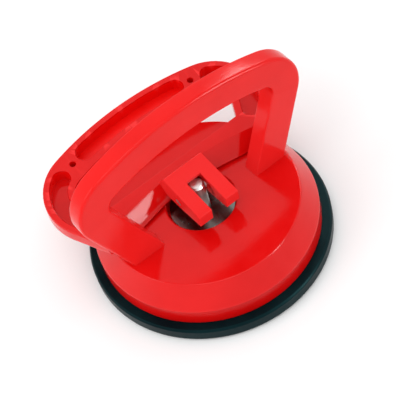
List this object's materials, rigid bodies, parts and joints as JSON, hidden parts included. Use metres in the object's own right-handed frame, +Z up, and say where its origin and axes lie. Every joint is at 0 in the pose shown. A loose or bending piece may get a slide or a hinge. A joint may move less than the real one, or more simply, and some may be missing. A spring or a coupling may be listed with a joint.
{
  "type": "vacuum suction cup",
  "caption": "Hand suction cup: round housing on a rubber disc, fixed carrying handle, and a folding lever whose prongs lift the centre of the rubber to make the vacuum.",
  "frame": {"origin": "on the cup axis, at the flat underside of the rubber", "axes": "+Z up along the cup axis, +X along the handle, -Y to the front, the released lever lies towards +Y"},
  "size_m": [0.1234, 0.1226, 0.1025],
  "materials": {
    "red_plastic": "glossy",
    "black_rubber": "satin",
    "steel": "zinc plated"
  },
  "bodies": {
    "cup_body": {"housing": "red_plastic", "wear_washer": "steel", "seal_rim": "black_rubber", "seal_web": "black_rubber"},
    "plunger": {"stud": "steel", "stud_plate": "steel", "seal_centre": "black_rubber"},
    "lever_arm": {"lever": "red_plastic", "pin": "steel"}
  },
  "joints": [
    {"name": "stud_lift", "type": "slide", "parent": "cup_body", "child": "plunger", "axis": [0, 0, 1], "range_m": [0, 0.005], "deforming": ["seal_web"]},
    {"name": "lever_swing", "type": "hinge", "parent": "plunger", "child": "lever_arm", "pos_m": [0, 0, 0.038], "axis": [1, 0, 0], "range_deg": [0, 82]}
  ],
  "couplings": [
    {"joint": "stud_lift", "follows": "lever_swing", "m_per_rad": 0.003493}
  ]
}
